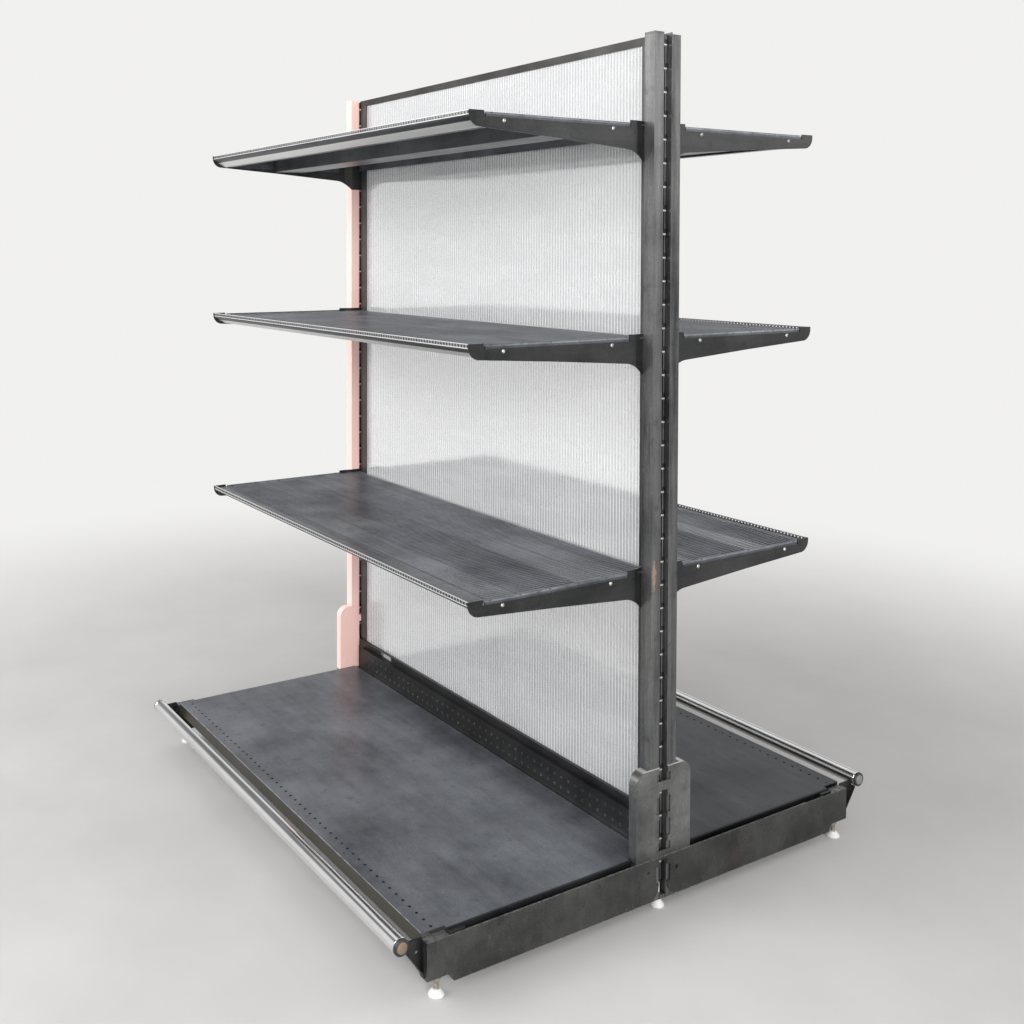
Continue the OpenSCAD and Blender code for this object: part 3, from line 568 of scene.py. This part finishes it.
# Painted light: bright rims that stand for light showing through the riser strips' holes.
STEEL_RIM_PAINTED_LIGHT = Steel("riser_rim_painted_light", (0.12, 0.12, 0.12), (0.3, 0.3, 0.29), "x", scratch=0.1).done()
CHROME = chrome()
BLACK = plastic("black_plastic", (0.012, 0.012, 0.012), (0.03, 0.03, 0.03), 0.4)
# Painted reflections on the bumpers' black end caps
TAN = plastic("tan_painted_reflection", (0.12, 0.085, 0.06), (0.22, 0.16, 0.11), 0.5)
GREY = plastic("grey_painted_reflection", (0.15, 0.15, 0.15), (0.24, 0.24, 0.23), 0.4)
WHITE = plastic("white_plastic", (0.55, 0.55, 0.53), (0.68, 0.68, 0.66), 0.42)
ZINC = zinc("zinc_steel", (0.26, 0.23, 0.18), (0.5, 0.46, 0.38))
SCREW = zinc("screw_steel", (0.3, 0.3, 0.3), (0.62, 0.62, 0.61))


# Mesh building

def add_object(name, data):
    made = bpy.data.objects.new(name, data)
    bpy.context.scene.collection.objects.link(made)
    return made


class Build:
    """Gathers points and faces, then makes one object of them."""

    def __init__(self):
        self.bm = bmesh.new()

    def points(self, places):
        return [self.bm.verts.new(p) for p in places]

    def box(self, low, high):
        """An upright box, between two corners."""
        for v in bmesh.ops.create_cube(self.bm, size=1.0)["verts"]:
            v.co = Vector([a if c < 0 else b for a, b, c in zip(low, high, v.co)])

    def turned(self, profile, place, steps=48):
        """A turned form: profile is (radius, height) from bottom to top, place is a Matrix."""
        rings = []
        for r, h in profile:
            turns = [2 * math.pi * i / steps for i in range(steps)] if r else [0.0]
            rings.append(self.points(place @ Vector((r * math.cos(a), r * math.sin(a), h)) for a in turns))
        for low, high in zip(rings, rings[1:]):
            for i in range(steps):
                j = (i + 1) % steps
                if len(low) == 1:
                    self.bm.faces.new((low[0], high[i], high[j]))
                elif len(high) == 1:
                    self.bm.faces.new((low[i], low[j], high[0]))
                else:
                    self.bm.faces.new((low[i], low[j], high[j], high[i]))

    def loft(self, start, end):
        """A closed solid between two outlines of as many points, with flat ends."""
        a, b = self.points(start), self.points(end)
        for i in range(len(a)):
            j = (i + 1) % len(a)
            self.bm.faces.new((a[i], a[j], b[j], b[i]))
        self.bm.faces.new(a[::-1])
        self.bm.faces.new(b)

    def swept(self, section, x0, x1):
        """A closed section in (y, z), swept along the bay from x0 to x1."""
        self.loft([(x0, y, z) for y, z in section], [(x1, y, z) for y, z in section])

    def finish(self, name, material, body, slot, smooth_angle=35.0, mirror_y=False):
        bm = self.bm
        if mirror_y:
            bmesh.ops.scale(bm, vec=(1, -1, 1), verts=bm.verts)
        bmesh.ops.remove_doubles(bm, verts=bm.verts, dist=1e-6)
        bmesh.ops.recalc_face_normals(bm, faces=bm.faces)
        mesh = bpy.data.meshes.new(name)
        bm.to_mesh(mesh)
        bm.free()
        mesh.materials.append(material)
        for polygon in mesh.polygons:
            polygon.use_smooth = True
        mesh.set_sharp_from_angle(angle=math.radians(smooth_angle))
        made = add_object(name, mesh)
        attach(made, body)
        return made


def in_metres(profile, radius=0.0):
    """A turned profile in metres, from one in millimetres that starts from this radius."""
    return [(radius + r * MM, h * MM) for r, h in profile]


def lying(place, end=1):
    """The place of a turned form whose axis runs along the bay, towards this end."""
    return Matrix.Translation(place) @ Matrix.Rotation(math.radians(90 * end), 4, "Y")


def arc(cy, cz, r, start, end, steps):
    """Points on a round stretch in (y, z), with angles in degrees."""
    turns = [math.radians(start + (end - start) * i / steps) for i in range(steps + 1)]
    return [(cy + r * math.cos(a), cz + r * math.sin(a)) for a in turns]


def thick(line, t):
    """A closed section of thickness t on the left side of an open line in (y, z)."""
    other = []
    for i, (y, z) in enumerate(line):
        before = line[max(i - 1, 0)]
        after = line[min(i + 1, len(line) - 1)]
        dy, dz = after[0] - before[0], after[1] - before[1]
        length = math.hypot(dy, dz)
        other.append((y - dz / length * t, z + dy / length * t))
    return line + other[::-1]


# Shelves

def slotted_rows():
    """The (start, end) of each row of slots, from the rear of a shelf to its nose."""
    bounds = [FIRST_SLOT_Y - BRIDGE / 2] + [ROW_START + i * ROW_PITCH for i in range(ROW_COUNT + 1)]
    bounds.append(LAST_SLOT_Y + BRIDGE / 2)
    return [(a + BRIDGE / 2, b - BRIDGE / 2) for a, b in zip(bounds, bounds[1:])]


def slotted_row(build, x0, x1, bands, top, shift):
    """One row of slots across a sheet. bands are the y of the row's edge, slot start, slot end and edge."""
    count = int((x1 - x0 - 2 * SLOT_PITCH) / SLOT_PITCH)
    first = (x0 + x1 - count * SLOT_PITCH) / 2 + (SLOT_PITCH - SLOT_W) / 2 + shift
    xs = [x0] + [first + i * SLOT_PITCH + side for i in range(count) for side in (0, SLOT_W)] + [x1]
    upper, lower = ([build.points((x, y, z) for y in bands) for x in xs] for z in (top, top - SHEET_T))
    for i in range(len(xs) - 1):
        for j in range(len(bands) - 1):
            corners = ((i, j), (i + 1, j), (i + 1, j + 1), (i, j + 1))
            in_slot = i % 2 == 1 and j == 1
            if in_slot:
                for (a, b), (c, d) in zip(corners, corners[1:] + corners[:1]):
                    build.bm.faces.new((upper[a][b], upper[c][d], lower[c][d], lower[a][b]))
            else:
                build.bm.faces.new([upper[a][b] for a, b in corners])
                build.bm.faces.new([lower[a][b] for a, b in reversed(corners)])


def slotted_sheet(build, x0, x1, y0, y1, top):
    """A shelf's sheet: rows of slots, each set half a pitch from the next, with closed edges."""
    rows = slotted_rows()
    edges = [y0] + [(a[1] + b[0]) / 2 for a, b in zip(rows, rows[1:])] + [y1]
    for n, (start, end) in enumerate(rows):
        bands = (edges[n], start, end, edges[n + 1])
        slotted_row(build, x0, x1, bands, top, (n % 2) * SLOT_PITCH / 2)
    sides = [((x0, y), (x1, y)) for y in (y0, y1)] + [((x, y0), (x, y1)) for x in (x0, x1)]
    for a, b in sides:
        closing = build.points([(*a, top), (*b, top), (*b, top - SHEET_T), (*a, top - SHEET_T)])
        build.bm.faces.new(closing)


def pierced_strip(build, x0, x1, place, width, thickness, pitch, radius):
    """A long strip with a row of round holes. place(x, v, w) puts a point of the strip in space."""
    count = int((x1 - x0 - pitch) / pitch)
    first = (x0 + x1 - (count - 1) * pitch) / 2
    a, b = pitch / 2, width / 2
    square = [(a, b), (0, b), (-a, b), (-a, 0), (-a, -b), (0, -b), (a, -b), (a, 0)]
    turns = [math.radians(45 * (k + 1)) for k in range(8)]
    hole = [(radius * math.cos(t), radius * math.sin(t)) for t in turns]
    for i in range(count):
        middle = first + i * pitch
        outer, inner, outer_far, inner_far = (
            build.points(place(middle + x, v, w) for x, v in outline)
            for w in (0.0, thickness) for outline in (square, hole))
        for k in range(8):
            n = (k + 1) % 8
            build.bm.faces.new((inner[k], inner[n], outer[n], outer[k]))
            build.bm.faces.new((outer_far[k], outer_far[n], inner_far[n], inner_far[k]))
            build.bm.faces.new((inner[k], inner[n], inner_far[n], inner_far[k]))
            on_long_edge = square[k][1] == square[n][1]
            if on_long_edge:
                build.bm.faces.new((outer[k], outer[n], outer_far[n], outer_far[k]))
    for start, end in ((x0, first - a), (first + (count - 1) * pitch + a, x1)):
        corners = build.points(place(x, v, w)
                               for x in (start, end) for v in (-b, b) for w in (0.0, thickness))
        for quad in ((0, 1, 3, 2), (4, 6, 7, 5), (0, 4, 5, 1), (2, 3, 7, 6), (0, 2, 6, 4), (1, 5, 7, 3)):
            build.bm.faces.new([corners[k] for k in quad])


def shelf_nose(build, reach, lip, top):
    """The fold under a lip: a tight turn, a slope inwards, a flat stretch and a short return."""
    nose_y = lip - NOSE_R
    bottom = top - NOSE_FLAT - NOSE_R
    fold_y = nose_y - NOSE_FOLD
    line = arc(lip - SHEET_T - FOLD_R, top - LIP_H, FOLD_R, 0, -60, 5)
    line += arc(nose_y - FOLD_INSET, bottom + SHEET_T + FOLD_R, FOLD_R, -60, -90, 4)
    line += [(fold_y, bottom + SHEET_T)]
    build.swept(thick(line, SHEET_T), -reach, reach)
    build.box((-reach, fold_y, bottom), (reach, fold_y + SHEET_T, bottom + NOSE_RETURN))


def side_bead():
    """Section of the rounded edge along a shelf's side, as (x, z) from its inner foot."""
    width = 2 * BEAD_R
    lip = [(width, -BEAD_DROP), (width - SHEET_T, -BEAD_DROP), (width - SHEET_T, -SHEET_T), (0, -SHEET_T)]
    return arc(BEAD_R, 0, BEAD_R, 180, 0, 8) + lip


def shelf_side(build, end, edge_x, sheet_z, stop):
    """The rounded edge along one side of a shelf, and the fold under it."""
    foot_x, foot_z = edge_x - 2 * BEAD_R, sheet_z + BEAD_UP
    build.loft(*([(end * (foot_x + u), y, foot_z + w) for u, w in side_bead()] for y in (SIDE_START, stop)))
    outer = edge_x - SHEET_INSET
    x0, x1 = sorted((end * outer, end * (outer - SHEET_T)))
    build.box((x0, SIDE_START, sheet_z - SIDE_FOLD), (x1, stop, sheet_z - SHEET_T))


def shelf(side, level):
    """The slotted sheet of one shelf, with its rear fold, pierced lip, nose and side edges."""
    node = f"shelf_{side}_{level}_deck"
    rear, lip = depth_range(node)
    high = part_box(node)[1]
    sheet_x = high.x - SHEET_INSET
    sheet_z = high.z - SHELF_DROP
    build = Build()
    slotted_sheet(build, -sheet_x, sheet_x, rear + SHEET_T, lip - SHEET_INSET, sheet_z)
    build.swept([(rear, sheet_z - REAR_FOLD), (rear + SHEET_T, sheet_z - REAR_FOLD),
                 (rear + SHEET_T, sheet_z), (rear, sheet_z)], -REAR_X, REAR_X)
    pierced_strip(build, -sheet_x, sheet_x,
                  lambda x, v, w: (x, lip - SHEET_T + w, high.z - LIP_H / 2 + v),
                  LIP_H, SHEET_T, SLOT_PITCH, LIP_HOLE_R)
    shelf_nose(build, sheet_x, lip, high.z)
    for end in ENDS.values():
        shelf_side(build, end, high.x, sheet_z, lip - NOSE_R - SIDE_STOP)
    made = build.finish(f"shelf_sheet_{side}_{level}", shelf_steel(side, level), f"shelf_{side}_{level}",
                        "shelf_steel", mirror_y=side == "front")
    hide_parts(node)


def screws(side, level):
    """Four button heads with a round recess."""
    node = f"shelf_{side}_{level}_screws"
    low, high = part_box(node)
    build = Build()
    for end in ENDS.values():
        for y in SCREW_Y:
            seat = (end * (high.x - SCREW_INSET), SIDES[side] * y, (low.z + high.z) / 2)
            build.turned(in_metres(BUTTON_HEAD), lying(seat, end), steps=24)
    made = build.finish(f"button_heads_{side}_{level}", SCREW, f"shelf_{side}_{level}", "screw_steel")
    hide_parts(node)


# Panel and riser strips

def fluted_panel():
    """Twin-wall panel whose two skins bulge a little between the webs."""
    low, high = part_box("panel")
    cells = round((high.x - low.x) / FLUTE_PITCH)
    start = (low.x + high.x - cells * FLUTE_PITCH) / 2
    build = Build()
    skins = []
    for face in (-1, 1):
        columns = []
        for i in range(cells * FLUTE_STEPS + 1):
            hollow = 1 - math.sin(math.pi * (i % FLUTE_STEPS) / FLUTE_STEPS)
            x, y = start + i * FLUTE_PITCH / FLUTE_STEPS, face * (high.y - FLUTE_BULGE * hollow)
            columns.append(build.points((x, y, z) for z in (low.z, high.z)))
        for a, b in zip(columns, columns[1:]):
            build.bm.faces.new((a[0], b[0], b[1], a[1]))
        skins.append(columns)
    front, back = skins
    for k in (0, -1):
        build.bm.faces.new((front[k][0], back[k][0], back[k][1], front[k][1]))
    for k in (0, 1):
        build.bm.faces.new([c[k] for c in front] + [c[k] for c in reversed(back)])
    material = polycarbonate(start, FLUTE_PITCH)
    made = build.finish("fluted_panel", material, "frame", "fluted_polycarbonate", smooth_angle=12)
    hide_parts("panel")


def riser_rims(side):
    """Bright rims round the small holes of a riser strip, painted light for the light that shows through
    them.
    """
    low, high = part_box(f"riser_strip_{side}")
    count = int((high.x - low.x - RISER_MARGIN) / HOLE_PITCH) + 1
    first = (low.x + high.x - (count - 1) * HOLE_PITCH) / 2
    outwards = Matrix.Rotation(math.radians(-90), 4, "X")
    build = Build()
    for i in range(count):
        for z in RISER_ROWS:
            place = Matrix.Translation((first + i * HOLE_PITCH, RISER_FACE, z)) @ outwards
            build.turned(in_metres(HOLE_RIM), place, steps=12)
    build.finish(f"riser_hole_rims_{side}", STEEL_RIM_PAINTED_LIGHT, "frame", "blackened_steel", mirror_y=side == "front")


# Bumpers and feet

def bumper_line():
    """Ends of the bumper tubes, their radius, and where their axes lie in depth and height."""
    low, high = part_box("bumper_tubes")
    radius = (high.z - low.z) / 2
    return low.x, high.x, radius, high.y - radius, (high.z + low.z) / 2


def bumper_tube_pair():
    """Polished tubes with a thin collar at each end."""
    start, stop, radius, y, z = bumper_line()
    length = stop - start
    collar = in_metres(TUBE_END, radius)
    far_collar = [(r, length - h) for r, h in reversed(collar)]
    build = Build()
    for side in SIDES.values():
        build.turned(collar + far_collar + collar[:1], lying((start, side * y, z)), steps=64)
    made = build.finish("bumper_tube_pair", CHROME, "frame", "bumper_chrome")
    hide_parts("bumper_tubes")


def bumper_ends():
    """Domed end caps with a collar, and their end faces, a painted reflection on each cap: tan in front,
    grey behind.
    """
    start, stop, radius, y, z = bumper_line()
    caps = Build()
    faces = {name: Build() for name in SIDES}
    for name, side in SIDES.items():
        for end, x in ((1, stop), (-1, start)):
            place = lying((x, side * y, z), end)
            caps.turned(in_metres(END_CAP, radius), place)
            faces[name].turned(in_metres(END_FACE, radius) + [(0, END_FACE_TOP)], place)
    made = caps.finish("bumper_end_caps", BLACK, "frame", "black_plastic")
    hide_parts("bumper_caps")
    faces["front"].finish("bumper_end_faces_front", TAN, "frame", "black_plastic")
    faces["back"].finish("bumper_end_faces_back", GREY, "frame", "black_plastic")


def outer_foot(end, side):
    """White pad with a rounded rim and a collar for its stud."""
    corner = f"{end}_{side}"
    node = f"foot_pad_{corner}"
    low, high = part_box(node)
    r = (high.x - low.x) / 2
    h = high.z
    place = Matrix.Translation(((low.x + high.x) / 2, (low.y + high.y) / 2, 0))
    build = Build()
    build.turned([(0, 0), (r - PAD_ROUND, 0), (r, PAD_ROUND), (r, PAD_RIM),
                  (r - 0.8 * MM, PAD_RIM + PAD_ROUND), (0.7 * r, h - 4 * MM), (PAD_COLLAR_R, h - 0.9 * MM),
                  (PAD_COLLAR_R - PAD_ROUND, h), (STUD_HOLE_R, h), (STUD_HOLE_R, STUD_SEAT),
                  (0, STUD_SEAT)], place)
    made = build.finish(f"pad_{corner}", WHITE, f"foot_{corner}", "white_plastic")
    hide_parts(node)


for side in SIDES:
    for level in LEVELS:
        shelf(side, level)
        screws(side, level)
    riser_rims(side)
fluted_panel()
bumper_tube_pair()
bumper_ends()
for end, side in CORNERS:
    outer_foot(end, side)


# Materials of the CAD nodes that stay

EDGE = 0.7 * MM


def paint(names, material, bevel=0.0):
    """Gives CAD nodes a material, and breaks their sharp edges by bevel."""
    for name in names:
        node = frame["nodes"][name]
        for material_slot in node.material_slots:
            material_slot.material = material
        if bevel:
            edge = node.modifiers.new("edge", "BEVEL")
            edge.width = bevel
            edge.segments = 1
            edge.limit_method = "ANGLE"
            edge.angle_limit = math.radians(50)


paint(["upright_near"], STEEL, EDGE)
paint(["side_strips"], STEEL_STRIP, EDGE)
paint(["upright_caps"], cap_steel())
paint(["upright_far"], far_upright_steel(), EDGE)
paint(["top_rail"], STEEL_RAIL)
paint(["panel_channel", "cross_beam", "riser_strip_front", "riser_strip_back", "base_rails"], STEEL_PAINTED_SHADE)
paint(["base_leg_near_front", "base_leg_near_back", "base_leg_far_back"], leg_steel("leg_steel"), EDGE)
paint(["base_leg_far_front"], leg_steel("leg_rose_tab", rose_tab=True), EDGE)
paint(["bumper_brackets"], STEEL_BRACKET, EDGE)
paint([f"foot_stud_{end}_{side}" for end, side in CORNERS], ZINC)
paint(["middle_foot_near", "middle_foot_far"], WHITE)
for side in SIDES:
    paint([f"base_deck_{side}"], deck_steel(side))
    for level in LEVELS:
        paint([f"shelf_{side}_{level}_bracket_{end}" for end in ENDS], STEEL_BRACKET, EDGE)
        paint([f"shelf_{side}_{level}_rail"], STEEL_SHELF)


# Floor, backdrop, light and camera

def stage():
    """A round pale floor that keeps the object's shadow and fades into the bright backdrop."""
    s = Shader("floor", Roughness=0.8)
    s.colour(s.ramp(s.noise(1.6, s.place(), detail=6.0), *FLOOR_TONES))
    away = s.node("VectorMath", {0: s.place()}, operation="LENGTH").outputs["Value"]
    fade = s.node("MapRange", {"Value": away, "From Min": FLOOR_FADE[0], "From Max": FLOOR_FADE[1]},
                  interpolation_type="SMOOTHSTEP").outputs[0]
    strength = s.span(s.seen(), 0.0, 1.0, AMBIENT, BACKDROP)
    glow = s.node("Emission", {"Color": GLOW, "Strength": strength})
    blend = s.node("MixShader", {"Fac": fade, 1: s.bsdf.outputs[0], 2: glow.outputs[0]})
    s.plug(blend.outputs[0], s.tree.nodes["Material Output"].inputs["Surface"])
    bm = bmesh.new()
    bmesh.ops.create_circle(bm, cap_ends=True, segments=96, radius=FLOOR_R)
    mesh = bpy.data.meshes.new("floor")
    bm.to_mesh(mesh)
    bm.free()
    mesh.materials.append(s.material)
    add_object("floor", mesh)


def world():
    """A white studio, softer as a light. Shiny metal sees dark gaps between its bright panels."""
    made = bpy.data.worlds.new("studio")
    made.use_nodes = True
    n = Nodes(made.node_tree)
    height = n.node("SeparateXYZ", {0: n.node("TexCoord").outputs["Generated"]}).outputs["Z"]
    bands = n.ramp(height, *REFLECTED_BANDS)
    glossy = n.node("LightPath").outputs["Is Glossy Ray"]
    background = n.tree.nodes["Background"]
    n.plug(n.mix(glossy, GLOW, bands), background.inputs["Color"])
    n.plug(n.span(n.seen(), 0.0, 1.0, AMBIENT, BACKDROP), background.inputs["Strength"])
    bpy.context.scene.world = made


def lamp(name, place, target, size, power):
    """A soft rectangular lamp at a place, turned towards a target."""
    data = bpy.data.lights.new(name, "AREA")
    data.shape = "RECTANGLE"
    data.size, data.size_y = size
    data.energy = power
    made = add_object(name, data)
    made.location = place
    made.rotation_euler = (Vector(target) - Vector(place)).to_track_quat("-Z", "Y").to_euler()
    made.visible_transmission = False


def camera():
    data = bpy.data.cameras.new("camera")
    data.lens = CAMERA_LENS
    data.sensor_width = CAMERA_SENSOR
    data.shift_x, data.shift_y = CAMERA_SHIFT
    made = add_object("camera", data)
    made.location = CAMERA_PLACE
    made.rotation_euler = (CAMERA_TILT, 0, CAMERA_TURN)
    bpy.context.scene.camera = made


stage()
world()
lamp("key", (-1.2, -4.4, 3.0), (0, 0, 0.8), (3.5, 2.5), 210)
lamp("camera_side", (4.8, -2.2, 2.0), (0, 0, 0.9), (3.5, 2.5), 240)
lamp("back_side", (3.2, 3.6, 3.0), (0.6, 0.4, 0.3), (3.0, 2.5), 45)
camera()
bpy.context.scene.view_settings.view_transform = "Standard"
